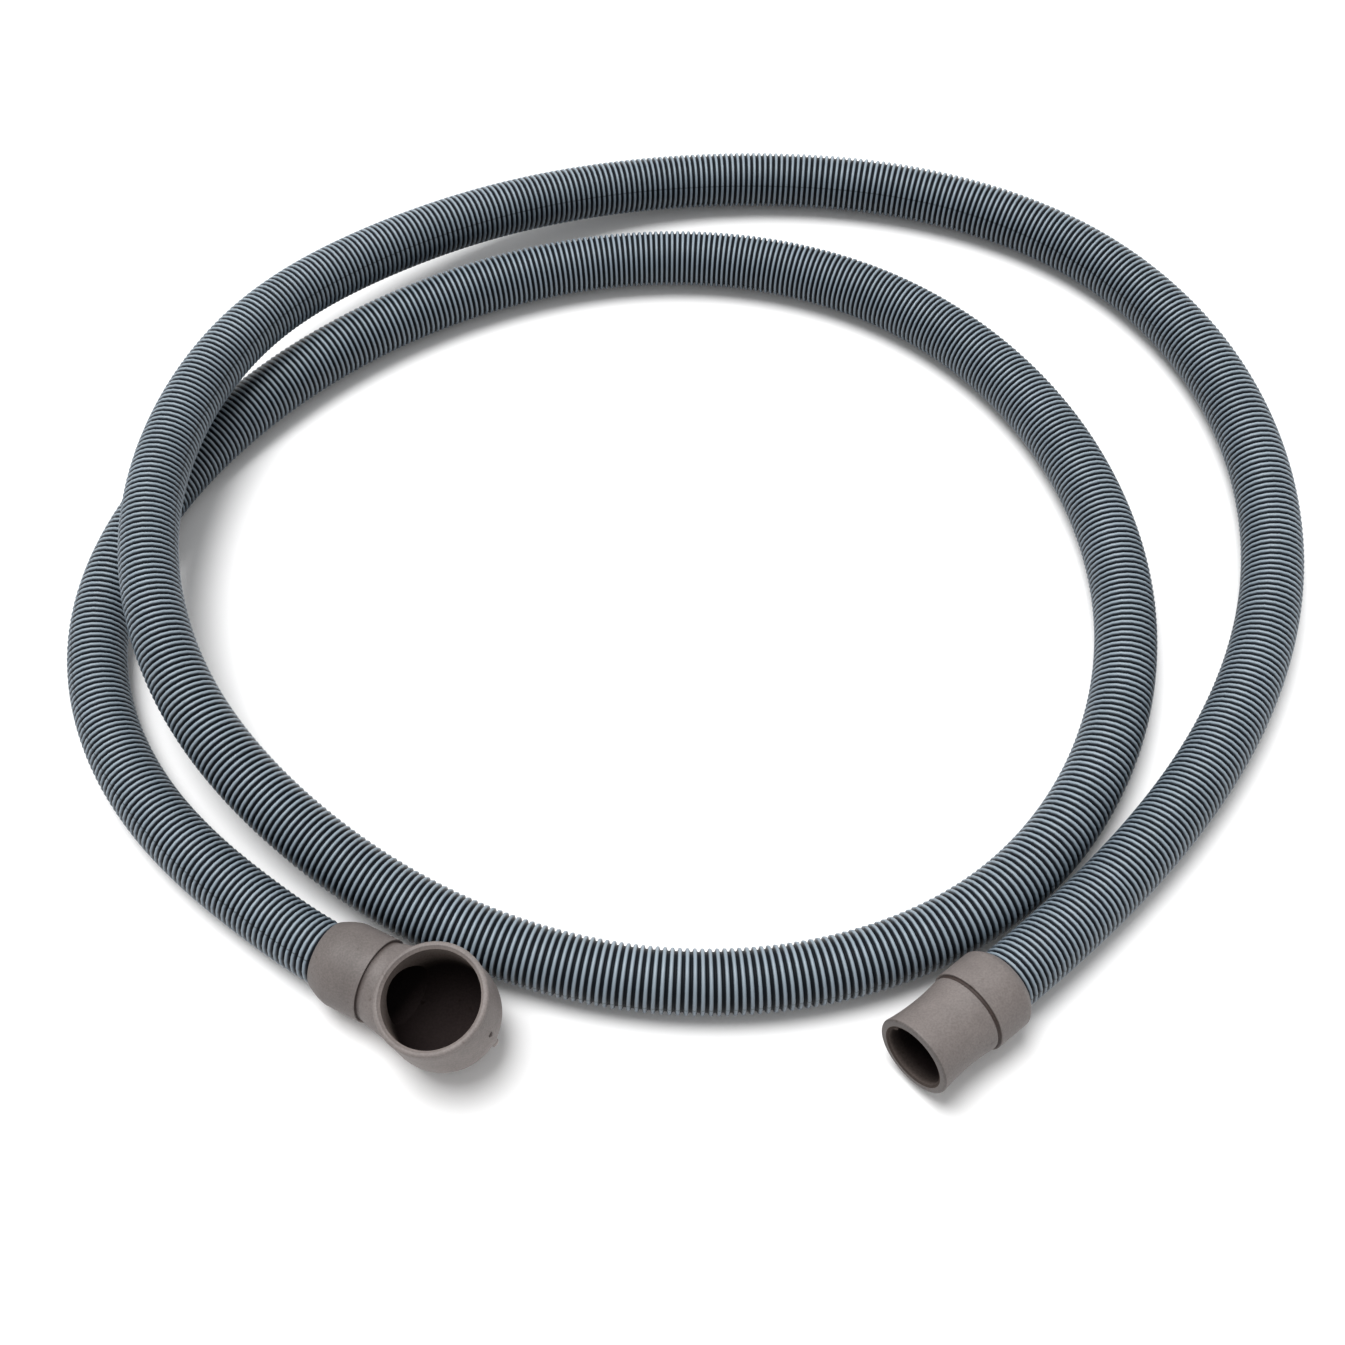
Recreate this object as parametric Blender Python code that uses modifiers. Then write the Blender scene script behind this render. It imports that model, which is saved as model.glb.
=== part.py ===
"""Drain hose of a dishwasher, lying in a loose coil on the floor.

Three pieces: the hose, a straight cuff on one end of it and an elbow cuff on the other. Sizes are in metres, +Z is
up and the floor is at Z = 0. The hose is drawn as a plain round tube over the crests of its corrugations.
"""
import math

import bmesh
import bpy
import numpy as np
from mathutils import Matrix, Vector

# Hose
HOSE_RADIUS = 0.0100
HOSE_STEPS = 76
HOSE_BEVEL_RESOLUTION = 4

# Clearance between pieces that touch
FIT_GAP = 0.0003

# Collars, the ends of both cuffs that grip the hose
COLLAR_LIP = 0.0006
SHOULDER_STEPS = 5
SHOULDER_EASE = 1.5
GROOVE_WIDTH = 0.0010
GROOVE_DEPTH = 0.0008
STOP_LENGTH = 0.0020
SOCKET_RADIUS = HOSE_RADIUS + FIT_GAP

# Straight cuff
STRAIGHT_COLLAR_RADIUS = 0.0131
STRAIGHT_COLLAR_LENGTH = 0.0149
STRAIGHT_SHOULDER_LENGTH = 0.0030
SPIGOT_LENGTH = 0.0223
SPIGOT_ROOT_RADIUS = 0.0124
SPIGOT_WAIST_RADIUS = 0.0118
SPIGOT_MOUTH_RADIUS = 0.0126
SPIGOT_BORE_RADIUS = 0.0095
SPIGOT_STEPS = 6
RIM_ROUNDING = 0.0009
ROUNDING_STEPS = 3

# Elbow cuff: its leg stands square to the collar and has a round, closed back
ELBOW_COLLAR_RADIUS = 0.0133
ELBOW_COLLAR_LENGTH = 0.0181
ELBOW_SHOULDER_LENGTH = 0.0069
ELBOW_REACH = 0.0228
NECK_ROOT_RADIUS = 0.0127
LEG_RADIUS = 0.0173
LEG_RISE = 0.0009
LEG_HEIGHT = NECK_ROOT_RADIUS + LEG_RISE
LEG_BORE_RADIUS = 0.0150
LEG_CHAMFER = 0.0009
NECK_BORE_RADIUS = 0.0093
NECK_SINK = 0.0006
NECK_STEPS = 8
BACK_STEPS = 8

# How fine the turned shapes are
TURN_STEPS = 40
CUT_OVERRUN = 0.0010
SHARP_ANGLE = math.radians(40.0)

# Where the cuffs lie: the middle of the collar's rear edge, in plan, and the way that the cuff points
ELBOW_REAR = (-0.1216, -0.1340)
ELBOW_HEADING = math.radians(-34.3)
ELBOW_ROLL = math.radians(10.5)
STRAIGHT_REAR = (0.0752, -0.1592)
STRAIGHT_HEADING = math.radians(-144.4)
STRAIGHT_TILT = math.radians(5.0)
TILT_ROUNDS = 20

# Route of the hose between the cuffs: x, y and how far it is lifted off the floor, in hose diameters
ROUTE = [
    (-0.1436, -0.1154, 0.01),
    (-0.1580, -0.1016, 0.00),
    (-0.1766, -0.0792, 0.00),
    (-0.1934, -0.0452, 0.00),
    (-0.1983, -0.0097, 0.00),
    (-0.1906, 0.0253, 0.00),
    (-0.1601, 0.0728, 0.00),
    (-0.1261, 0.1032, 0.00),
    (-0.0766, 0.1298, 0.00),
    (-0.0216, 0.1423, 0.00),
    (0.0344, 0.1373, 0.00),
    (0.0844, 0.1128, 0.00),
    (0.1209, 0.0703, 0.00),
    (0.1394, 0.0173, 0.00),
    (0.1387, -0.0387, 0.00),
    (0.1179, -0.0907, 0.00),
    (0.0786, -0.1306, 0.00),
    (0.0264, -0.1494, 0.00),
    (-0.0296, -0.1477, 0.00),
    (-0.0821, -0.1282, 0.08),
    (-0.1276, -0.0952, 0.38),
    (-0.1621, -0.0517, 0.82),
    (-0.1776, 0.0013, 1.09),
    (-0.1711, 0.0571, 1.09),
    (-0.1441, 0.1062, 0.99),
    (-0.1011, 0.1423, 0.70),
    (-0.0511, 0.1673, 0.36),
    (0.0034, 0.1798, 0.09),
    (0.0594, 0.1778, 0.00),
    (0.1134, 0.1618, 0.00),
    (0.1594, 0.1298, 0.00),
    (0.1889, 0.0823, 0.00),
    (0.1984, 0.0268, 0.00),
    (0.1889, -0.0282, 0.00),
    (0.1629, -0.0777, 0.00),
    (0.1129, -0.1303, 0.00),
]

# Colours
HOSE_COLOUR = (0.150, 0.180, 0.205, 1.0)
HOSE_ROUGHNESS = 0.55
CUFF_COLOUR = (0.262, 0.223, 0.209, 1.0)
CUFF_ROUGHNESS = 0.70


def clear_scene():
    for item in list(bpy.data.objects):
        bpy.data.objects.remove(item, do_unlink=True)


def new_collection(name):
    collection = bpy.data.collections.new(name)
    bpy.context.scene.collection.children.link(collection)
    return collection


def new_material(name, colour, roughness):
    material = bpy.data.materials.new(name)
    material.use_nodes = True
    shader = material.node_tree.nodes["Principled BSDF"]
    shader.inputs["Base Color"].default_value = colour
    shader.inputs["Roughness"].default_value = roughness
    shader.inputs["Metallic"].default_value = 0.0
    return material


def collar_outline(radius, length, shoulder):
    """The outer side of a collar from its rear edge to the far side of its groove, as radius and height."""
    lip_radius = SOCKET_RADIUS + COLLAR_LIP
    points = []
    for step in range(SHOULDER_STEPS + 1):
        share = step / SHOULDER_STEPS
        points.append((lip_radius + (radius - lip_radius) * (1 - (1 - share) ** SHOULDER_EASE), shoulder * share))
    points.append((radius, length - GROOVE_WIDTH / 2))
    points.append((radius - GROOVE_DEPTH, length - GROOVE_WIDTH / 2))
    points.append((radius - GROOVE_DEPTH, length + GROOVE_WIDTH / 2))
    return points


def elbow_collar():
    return collar_outline(ELBOW_COLLAR_RADIUS, ELBOW_COLLAR_LENGTH, ELBOW_SHOULDER_LENGTH)


def straight_collar():
    return collar_outline(STRAIGHT_COLLAR_RADIUS, STRAIGHT_COLLAR_LENGTH, STRAIGHT_SHOULDER_LENGTH)


def rear_height(collar, tilt):
    """How high the middle of a collar's rear edge lies when the tilted collar rests on the floor."""
    return max(radius * math.cos(tilt) - along * math.sin(tilt) for radius, along in collar)


def elbow_tilt():
    """The tilt at which the elbow rests on the floor with its collar and with the round back of its leg."""
    tilt = 0.0
    for _ in range(TILT_ROUNDS):
        rise = LEG_RADIUS - rear_height(elbow_collar(), tilt)
        tilt = math.asin(rise / (ELBOW_COLLAR_LENGTH + ELBOW_REACH))
    return tilt


def cuff_matrix(rear, collar, heading, tilt, roll):
    """Places a cuff whose own +Z runs from the collar's rear edge to the mouth, its collar resting on the floor."""
    lie = Matrix.Rotation(heading, 4, "Z") @ Matrix.Rotation(math.pi / 2 - tilt, 4, "Y")
    return Matrix.Translation((*rear, rear_height(collar, tilt))) @ lie @ Matrix.Rotation(roll, 4, "Z")


def rounding(centre_radius, centre_height, radius, start, end):
    """Points on an arc of a turned outline, between two angles that start at the outward direction."""
    points = []
    for step in range(ROUNDING_STEPS + 1):
        angle = start + (end - start) * step / ROUNDING_STEPS
        points.append((centre_radius + radius * math.cos(angle), centre_height + radius * math.sin(angle)))
    return points


def spigot_outline():
    """The outer side of the straight cuff's spigot, a little waisted, from its groove to its rounded rim."""
    start = STRAIGHT_COLLAR_LENGTH + GROOVE_WIDTH / 2
    mouth = STRAIGHT_COLLAR_LENGTH + SPIGOT_LENGTH
    points = []
    for step in range(SPIGOT_STEPS):
        share = step / SPIGOT_STEPS
        root = SPIGOT_ROOT_RADIUS * (1 - share) * (1 - 2 * share)
        waist = SPIGOT_WAIST_RADIUS * 4 * share * (1 - share)
        end = SPIGOT_MOUTH_RADIUS * share * (2 * share - 1)
        points.append((root + waist + end, start + (mouth - RIM_ROUNDING - start) * share))
    corner = SPIGOT_MOUTH_RADIUS - RIM_ROUNDING
    points += rounding(corner, mouth - RIM_ROUNDING, RIM_ROUNDING, 0.0, math.pi / 2)
    return points


def turned(name, profile, closed, collection):
    """A shape turned about its own Z axis. The profile runs down its outer side, from top to bottom."""
    mesh = bpy.data.meshes.new(name)
    edges = [(index, index + 1) for index in range(len(profile) - 1)]
    if closed:
        edges.append((len(profile) - 1, 0))
    mesh.from_pydata([(radius, 0.0, height) for radius, height in profile], edges, [])
    piece = bpy.data.objects.new(name, mesh)
    collection.objects.link(piece)
    screw = piece.modifiers.new("Turn", "SCREW")
    screw.steps = TURN_STEPS
    screw.render_steps = TURN_STEPS
    screw.use_merge_vertices = True
    screw.merge_threshold = 0.00001
    screw.use_smooth_shade = True
    return piece


def combine(piece, operation, others):
    """Joins other shapes to a piece, or cuts them out of it. They are kept as wire guides."""
    for other in others:
        other.hide_render = True
        other.display_type = "WIRE"
        boolean = piece.modifiers.new(operation.title() + " " + other.name, "BOOLEAN")
        boolean.operation = operation
        boolean.solver = "EXACT"
        boolean.object = other


def natural_spline(points):
    """A smooth curve through points, as a function of the distance along the straight lines between them."""
    places = np.array(points)
    gaps = np.linalg.norm(np.diff(places, axis=0), axis=1)
    marks = np.concatenate(([0.0], np.cumsum(gaps)))
    count = len(places)
    system = np.eye(count)
    sides = np.zeros_like(places)
    for row in range(1, count - 1):
        system[row, row - 1] = gaps[row - 1]
        system[row, row] = 2 * (gaps[row - 1] + gaps[row])
        system[row, row + 1] = gaps[row]
        slopes = np.diff(places[row - 1:row + 2], axis=0) / gaps[row - 1:row + 1, None]
        sides[row] = 6 * (slopes[1] - slopes[0])
    bends = np.linalg.solve(system, sides)

    def at(mark):
        part = min(max(int(np.searchsorted(marks, mark, side="right")) - 1, 0), count - 2)
        gap = gaps[part]
        before = mark - marks[part]
        after = marks[part + 1] - mark
        cubic = (bends[part] * after ** 3 + bends[part + 1] * before ** 3) / (6 * gap)
        start = (places[part] / gap - bends[part] * gap / 6) * after
        end = (places[part + 1] / gap - bends[part + 1] * gap / 6) * before
        return cubic + start + end

    return at, marks


def socket_points(matrix, collar_length):
    """The middle of a collar's rear edge, and the middle of the hose's end against the stop inside it."""
    depth = collar_length - STOP_LENGTH - FIT_GAP
    return matrix @ Vector((0.0, 0.0, 0.0)), matrix @ Vector((0.0, 0.0, depth))


def hose_path(elbow_matrix, straight_matrix):
    """Points along the middle of the hose, straight inside the collars and never below the floor between them."""
    elbow_rear, elbow_stop = socket_points(elbow_matrix, ELBOW_COLLAR_LENGTH)
    straight_rear, straight_stop = socket_points(straight_matrix, STRAIGHT_COLLAR_LENGTH)
    between = [(x, y, HOSE_RADIUS + lift * 2 * HOSE_RADIUS) for x, y, lift in ROUTE]
    at, marks = natural_spline([elbow_stop, elbow_rear, *between, straight_rear, straight_stop])
    path = [tuple(elbow_stop)]
    for mark in np.linspace(marks[1], marks[-2], HOSE_STEPS + 1):
        x, y, z = at(mark)
        path.append((x, y, max(z, HOSE_RADIUS)))
    path.append(tuple(straight_stop))
    return path


def make_hose(path, material, collection):
    curve = bpy.data.curves.new("corrugated_hose", "CURVE")
    curve.dimensions = "3D"
    curve.bevel_depth = HOSE_RADIUS
    curve.bevel_resolution = HOSE_BEVEL_RESOLUTION
    curve.use_fill_caps = True
    spline = curve.splines.new("POLY")
    spline.points.add(len(path) - 1)
    for point, place in zip(spline.points, path):
        point.co = (*place, 1.0)
    curve.materials.append(material)
    hose = bpy.data.objects.new("corrugated_hose", curve)
    collection.objects.link(hose)
    return hose


def make_straight_cuff(matrix, material, collection):
    outer = straight_collar() + spigot_outline()
    mouth = STRAIGHT_COLLAR_LENGTH + SPIGOT_LENGTH
    stop = STRAIGHT_COLLAR_LENGTH - STOP_LENGTH
    corner = SPIGOT_BORE_RADIUS + RIM_ROUNDING
    inner_rim = rounding(corner, mouth - RIM_ROUNDING, RIM_ROUNDING, math.pi, math.pi / 2)
    inner = [(SOCKET_RADIUS, 0.0), (SOCKET_RADIUS, stop), (SPIGOT_BORE_RADIUS, stop)] + inner_rim
    cuff = turned("straight_cuff", outer[::-1] + inner, True, collection)
    cuff.data.materials.append(material)
    cuff.matrix_world = matrix
    return cuff


def neck_section(share):
    """One ring of the elbow's neck: round at the collar, wider and flat-topped where it meets the leg."""
    ease = math.sin(math.pi / 2 * share)
    half_width = NECK_ROOT_RADIUS + (LEG_RADIUS - NECK_SINK - NECK_ROOT_RADIUS) * ease
    top = NECK_ROOT_RADIUS + (LEG_HEIGHT - NECK_SINK - NECK_ROOT_RADIUS) * ease
    bottom = half_width
    height = ELBOW_COLLAR_LENGTH + ELBOW_REACH * share
    ring = []
    for step in range(TURN_STEPS):
        angle = 2 * math.pi * step / TURN_STEPS
        side = half_width * math.sin(angle)
        upward = math.cos(angle)
        ring.append((-upward * (top if upward > 0 else bottom), side, height))
    return ring


def make_neck(collection):
    """The solid neck, lofted from the collar's round end to the middle of the leg."""
    form = bmesh.new()
    rings = []
    for step in range(NECK_STEPS + 1):
        rings.append([form.verts.new(place) for place in neck_section(step / NECK_STEPS)])
    for lower, upper in zip(rings, rings[1:]):
        for index in range(TURN_STEPS):
            following = (index + 1) % TURN_STEPS
            form.faces.new((lower[index], lower[following], upper[following], upper[index]))
    form.faces.new(rings[0][::-1])
    form.faces.new(rings[-1])
    bmesh.ops.recalc_face_normals(form, faces=form.faces)
    mesh = bpy.data.meshes.new("neck_form")
    form.to_mesh(mesh)
    form.free()
    mesh.shade_smooth()
    mesh.set_sharp_from_angle(angle=SHARP_ANGLE)
    neck = bpy.data.objects.new("neck_form", mesh)
    collection.objects.link(neck)
    return neck


def round_back(radius):
    """The outline of a half ball about the origin, from its widest place down to the axis."""
    points = []
    for step in range(BACK_STEPS):
        angle = math.pi / 2 * step / BACK_STEPS
        points.append((radius * math.cos(angle), -radius * math.sin(angle)))
    points.append((0.0, -radius))
    return points


def make_elbow_cuff(matrix, material, collection, guides):
    solid_end = ELBOW_COLLAR_LENGTH + GROOVE_WIDTH
    core = [(0.0, 0.0)] + elbow_collar()
    core += [(ELBOW_COLLAR_RADIUS - GROOVE_DEPTH, solid_end), (0.0, solid_end)]
    cuff = turned("elbow_cuff", core[::-1], False, collection)
    cuff.data.materials.append(material)

    # The leg's own +Z points out of its mouth, which is the cuff's -X, and its origin is on the collar's axis
    leg_place = Matrix.Translation((0.0, 0.0, ELBOW_COLLAR_LENGTH + ELBOW_REACH))
    leg_place = leg_place @ Matrix.Rotation(-math.pi / 2, 4, "Y")
    neck = make_neck(guides)
    rim_corner = LEG_RADIUS - RIM_ROUNDING
    outer_rim = rounding(rim_corner, LEG_HEIGHT - RIM_ROUNDING, RIM_ROUNDING, math.pi / 2, 0.0)
    leg = turned("leg_form", [(0.0, LEG_HEIGHT)] + outer_rim + round_back(LEG_RADIUS), False, guides)
    leg_top = LEG_HEIGHT + CUT_OVERRUN
    chamfer_radius = LEG_BORE_RADIUS + LEG_CHAMFER
    chamfer = [(0.0, leg_top), (chamfer_radius, leg_top), (chamfer_radius, LEG_HEIGHT)]
    chamfer.append((LEG_BORE_RADIUS, LEG_HEIGHT - LEG_CHAMFER))
    leg_bore = turned("leg_bore", chamfer + round_back(LEG_BORE_RADIUS), False, guides)
    stop = ELBOW_COLLAR_LENGTH - STOP_LENGTH
    neck_end = ELBOW_COLLAR_LENGTH + ELBOW_REACH
    passage = [(0.0, neck_end), (NECK_BORE_RADIUS, neck_end), (NECK_BORE_RADIUS, stop)]
    passage += [(SOCKET_RADIUS, stop), (SOCKET_RADIUS, -CUT_OVERRUN), (0.0, -CUT_OVERRUN)]
    hose_way = turned("hose_way", passage, False, guides)

    cuff.matrix_world = matrix
    neck.matrix_world = matrix
    hose_way.matrix_world = matrix
    leg.matrix_world = matrix @ leg_place
    leg_bore.matrix_world = matrix @ leg_place
    combine(cuff, "UNION", [neck, leg])
    combine(cuff, "DIFFERENCE", [leg_bore, hose_way])
    return cuff


def main():
    clear_scene()
    parts = new_collection("drain_hose")
    guides = new_collection("guides")
    hose_material = new_material("hose_plastic", HOSE_COLOUR, HOSE_ROUGHNESS)
    cuff_material = new_material("cuff_rubber", CUFF_COLOUR, CUFF_ROUGHNESS)

    elbow_matrix = cuff_matrix(ELBOW_REAR, elbow_collar(), ELBOW_HEADING, elbow_tilt(), ELBOW_ROLL)
    straight_matrix = cuff_matrix(STRAIGHT_REAR, straight_collar(), STRAIGHT_HEADING, STRAIGHT_TILT, 0.0)
    make_hose(hose_path(elbow_matrix, straight_matrix), hose_material, parts)
    make_straight_cuff(straight_matrix, cuff_material, parts)
    make_elbow_cuff(elbow_matrix, cuff_material, parts, guides)


main()
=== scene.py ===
"""Looks of a dishwasher drain hose: a ring-corrugated hose and its two rubber cuffs on a white floor."""
import math

import bmesh
import bpy
import numpy as np
from mathutils import Matrix, Vector


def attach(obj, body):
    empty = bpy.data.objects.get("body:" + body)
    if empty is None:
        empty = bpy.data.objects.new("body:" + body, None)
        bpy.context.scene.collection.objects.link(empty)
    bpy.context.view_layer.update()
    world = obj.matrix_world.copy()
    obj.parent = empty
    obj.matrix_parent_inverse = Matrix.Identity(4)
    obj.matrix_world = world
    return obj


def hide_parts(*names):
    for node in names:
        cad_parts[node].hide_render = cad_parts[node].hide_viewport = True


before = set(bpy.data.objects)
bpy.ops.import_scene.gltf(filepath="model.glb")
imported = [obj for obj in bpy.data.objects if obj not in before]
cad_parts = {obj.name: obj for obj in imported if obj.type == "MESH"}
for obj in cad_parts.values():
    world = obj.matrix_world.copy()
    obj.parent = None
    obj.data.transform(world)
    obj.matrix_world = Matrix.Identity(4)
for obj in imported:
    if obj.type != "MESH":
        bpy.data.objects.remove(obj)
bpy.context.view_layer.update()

# Photograph's camera: a square frame whose optical centre lies left of the middle
PHOTO_SIZE = 1345
FOCAL_PIXELS = 1990
CENTRE_X_PIXELS = 540
SENSOR_WIDTH = 36.0
CAMERA_PLACE = Vector((-0.0525, -0.3882, 0.5560))
CAMERA_TILT = math.radians(57.3)
CAMERA_ROLL = math.radians(4.3)
CLIP_START = 0.01

# Hose
HOSE_RADIUS = 0.0100
HOSE_BORE_RADIUS = 0.0074
HOSE_SIDES = 20
LINE_POINTS = 8001
PATH_POINTS = 800
BORE_STEPS = 100

# One corrugation: places in pitches from its crest, each with its radius and how deep in the groove it is,
# which sets the painted shade there
CORRUGATION = [
    (0.00, 0.01000, 0.00),
    (0.19, 0.00986, 0.08),
    (0.36, 0.00895, 1.00),
    (0.64, 0.00895, 1.00),
    (0.81, 0.00986, 0.08),
]

# The pitch at places along the hose, which is stretched a little here and squeezed a little there
PITCHES = [
    (0.00, 0.00226),
    (0.05, 0.00213),
    (0.12, 0.00203),
    (0.32, 0.00210),
    (0.46, 0.00195),
    (0.56, 0.00195),
    (0.68, 0.00206),
    (0.86, 0.00221),
    (0.915, 0.00232),
    (0.94, 0.00224),
    (1.04, 0.00202),
    (1.27, 0.00204),
    (1.36, 0.00212),
    (1.45, 0.00207),
    (1.50, 0.00212),
    (1.59, 0.00202),
    (1.72, 0.00218),
    (1.86, 0.00202),
    (1.97, 0.00206),
]

# Parting lines of the hose: how far, in degrees, they have turned from its sides at places along it
SEAM_TURNS = [
    (0.00, 45.0),
    (0.60, 40.0),
    (1.25, -29.0),
    (1.55, -29.0),
    (1.97, 20.0),
]
SEAM_WIDTH = 0.0004
FAR_FROM_SEAM = 10.0

# Fits and collars, as in the solid model
FIT_GAP = 0.0003
COLLAR_LIP = 0.0006
SHOULDER_STEPS = 10
SHOULDER_EASE = 1.5
GROOVE_WIDTH = 0.0010
GROOVE_DEPTH = 0.0008
STOP_LENGTH = 0.0020
SOCKET_RADIUS = HOSE_RADIUS + FIT_GAP
EDGE_ROUNDING = 0.00015
EDGE_STEPS = 3
EDGE_REACH = 3 * EDGE_ROUNDING
TURN_STEPS = 128

# Straight cuff
STRAIGHT_COLLAR_RADIUS = 0.0131
STRAIGHT_COLLAR_LENGTH = 0.0149
STRAIGHT_SHOULDER_LENGTH = 0.0030
STRAIGHT_COLLAR_RINGS = [0.006, 0.010]
SPIGOT_LENGTH = 0.0223
SPIGOT_ROOT_RADIUS = 0.0124
SPIGOT_WAIST_RADIUS = 0.0118
SPIGOT_MOUTH_RADIUS = 0.0126
SPIGOT_BORE_RADIUS = 0.0095
SPIGOT_STEPS = 16
LIP_OUTER_ROUNDING = 0.0008
LIP_OUTER_STEPS = 6
LIP_INNER_ROUNDING = 0.0011
LIP_INNER_STEPS = 8
LIP_INSIDE_SHARE = 0.9
BORE_STEP = 0.0012

# Elbow cuff: its leg stands square to the collar and has a round, closed back
ELBOW_COLLAR_RADIUS = 0.0133
ELBOW_COLLAR_LENGTH = 0.0181
ELBOW_SHOULDER_LENGTH = 0.0069
ELBOW_COLLAR_RINGS = [0.010, 0.014]
ELBOW_CORE_OVERLAP = 0.0030
ELBOW_REACH = 0.0228
ELBOW_GROOVE_AT = 0.0191
NECK_ROOT_RADIUS = 0.0127
LEG_RADIUS = 0.0173
LEG_RISE = 0.0009
LEG_HEIGHT = NECK_ROOT_RADIUS + LEG_RISE
LEG_BORE_RADIUS = 0.0150
LEG_CHAMFER = 0.0009
LEG_RIM_ROUNDING = 0.0009
LEG_RIM_STEPS = 6
LEG_RIM_BAND = 0.0024
LEG_RIM_SINK = 0.0003
NECK_BORE_RADIUS = 0.0093
NECK_SINK = 0.0016
NECK_STEPS = 12
BACK_STEPS = 24
CUT_OVERRUN = 0.0010
SLACK = 0.0001
WELD_DISTANCE = 0.000003
# Painted shade inside the cuffs: the depth over which it darkens in the straight mouth, how dark it starts
# there, and the depth in the leg
STRAIGHT_INSIDE_SHADE_FADE = 0.0050
STRAIGHT_INSIDE_SHADE_START = 0.6
LEG_INSIDE_SHADE_FADE = 0.0150
BLEND_VOXEL = 0.0005
BLEND_ROUNDS = 14
BLEND_FACTOR = 0.5
SHARP_ANGLE = math.radians(40.0)

# Marks of the moulding: a ridge, a pin mark and a stub on the elbow's back, a stub in the straight mouth
RIDGE_HEIGHT = 0.0005
RIDGE_WIDTH = 0.0011
RIDGE_MIDDLE = -0.001
RIDGE_HALF_LENGTH = 0.007
RIDGE_FADE = 0.002
PIN_MARK_HEIGHT = 0.0032
PIN_MARK_RADIUS = 0.0011
PIN_MARK_FLOOR_SHARE = 0.6
# How far out and how dark the painted shade in the pin mark is
PIN_MARK_SHADED_SHARE = 0.8
PIN_MARK_PAINTED_SHADE = 0.5
PIN_MARK_DEPTH = 0.0006
SPRUE_HEIGHT = -0.0078
SPRUE_RADIUS = 0.0017
SPRUE_SHOULDER_SHARE = 0.7
SPRUE_TIP_SHARE = 0.4
SPRUE_TIP_LENGTH = 0.0003
SPRUE_LENGTH = 0.0010
MOUTH_STUB_RADIUS = 0.0011
MOUTH_STUB_AT = 0.0097
MOUTH_STUB_TURN = math.radians(68.0)

# How much painted light or shade the rubber gets: along the elbow, up its leg, on the stubs and on the
# straight cuff's lip
ELBOW_PAINTED_LIGHT = [(0.000, 0.70), (0.012, 0.72), (0.024, 0.92), (0.040, 1.06), (0.060, 1.16)]
LEG_PAINTED_LIGHT = [(-0.017, 1.40), (-0.006, 1.30), (0.006, 1.09), (0.020, 1.0)]
STUB_PAINTED_LIGHT = 1.6
LIP_PAINTED_SHADE = 0.62

# Where the cuffs lie
ELBOW_REAR = (-0.1216, -0.1340)
ELBOW_HEADING = math.radians(-34.3)
ELBOW_ROLL = math.radians(10.5)
STRAIGHT_REAR = (0.0752, -0.1592)
STRAIGHT_HEADING = math.radians(-144.4)
STRAIGHT_TILT = math.radians(5.0)
TILT_ROUNDS = 20

# Route of the hose between the cuffs: x, y and how far it is lifted off the floor, in hose diameters
ROUTE = [
    (-0.1436, -0.1154, 0.01),
    (-0.1580, -0.1016, 0.00),
    (-0.1766, -0.0792, 0.00),
    (-0.1934, -0.0452, 0.00),
    (-0.1983, -0.0097, 0.00),
    (-0.1906, 0.0253, 0.00),
    (-0.1601, 0.0728, 0.00),
    (-0.1261, 0.1032, 0.00),
    (-0.0766, 0.1298, 0.00),
    (-0.0216, 0.1423, 0.00),
    (0.0344, 0.1373, 0.00),
    (0.0844, 0.1128, 0.00),
    (0.1209, 0.0703, 0.00),
    (0.1394, 0.0173, 0.00),
    (0.1387, -0.0387, 0.00),
    (0.1179, -0.0907, 0.00),
    (0.0786, -0.1306, 0.00),
    (0.0264, -0.1494, 0.00),
    (-0.0296, -0.1477, 0.00),
    (-0.0821, -0.1282, 0.08),
    (-0.1276, -0.0952, 0.38),
    (-0.1621, -0.0517, 0.82),
    (-0.1776, 0.0013, 1.09),
    (-0.1711, 0.0571, 1.09),
    (-0.1441, 0.1062, 0.99),
    (-0.1011, 0.1423, 0.70),
    (-0.0511, 0.1673, 0.36),
    (0.0034, 0.1798, 0.09),
    (0.0594, 0.1778, 0.00),
    (0.1134, 0.1618, 0.00),
    (0.1594, 0.1298, 0.00),
    (0.1889, 0.0823, 0.00),
    (0.1984, 0.0268, 0.00),
    (0.1889, -0.0282, 0.00),
    (0.1629, -0.0777, 0.00),
    (0.1129, -0.1303, 0.00),
]

# Finish of the hose: noise scales, bumps and colours. Its shades, each a place and a colour, run from its
# crests into the grooves as painted shade, from its parting line sideways, and from its bottom up as
# painted shade
HOSE_CLOUD_SCALE = 60.0
HOSE_GRAIN_SCALE = 900.0
HOSE_BUMP = 0.10
HOSE_BUMP_DEPTH = 0.0001
HOSE_COLOURS = [(0.35, (0.238, 0.292, 0.334)), (0.65, (0.274, 0.333, 0.380))]
# Painted shade, darker from the crests down into the grooves and the bore
HOSE_GROOVE_PAINTED_SHADE = [
    (0.00, (1.0, 1.0, 1.0)),
    (0.12, (0.70, 0.71, 0.73)),
    (0.32, (0.18, 0.185, 0.20)),
    (0.60, (0.050, 0.053, 0.060)),
    (1.00, (0.032, 0.033, 0.038)),
]
HOSE_SEAM_SHADES = [(0.25, (0.35, 0.35, 0.35)), (0.70, (1.0, 1.0, 1.0))]
# Painted shade, darker from the top of the hose down to its underside
HOSE_UNDERSIDE_PAINTED_SHADE = [
    (0.00, (0.40, 0.41, 0.44)),
    (0.35, (0.50, 0.52, 0.55)),
    (0.60, (0.66, 0.68, 0.71)),
    (0.80, (0.82, 0.83, 0.85)),
    (0.95, (1.0, 1.0, 1.0)),
]
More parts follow.
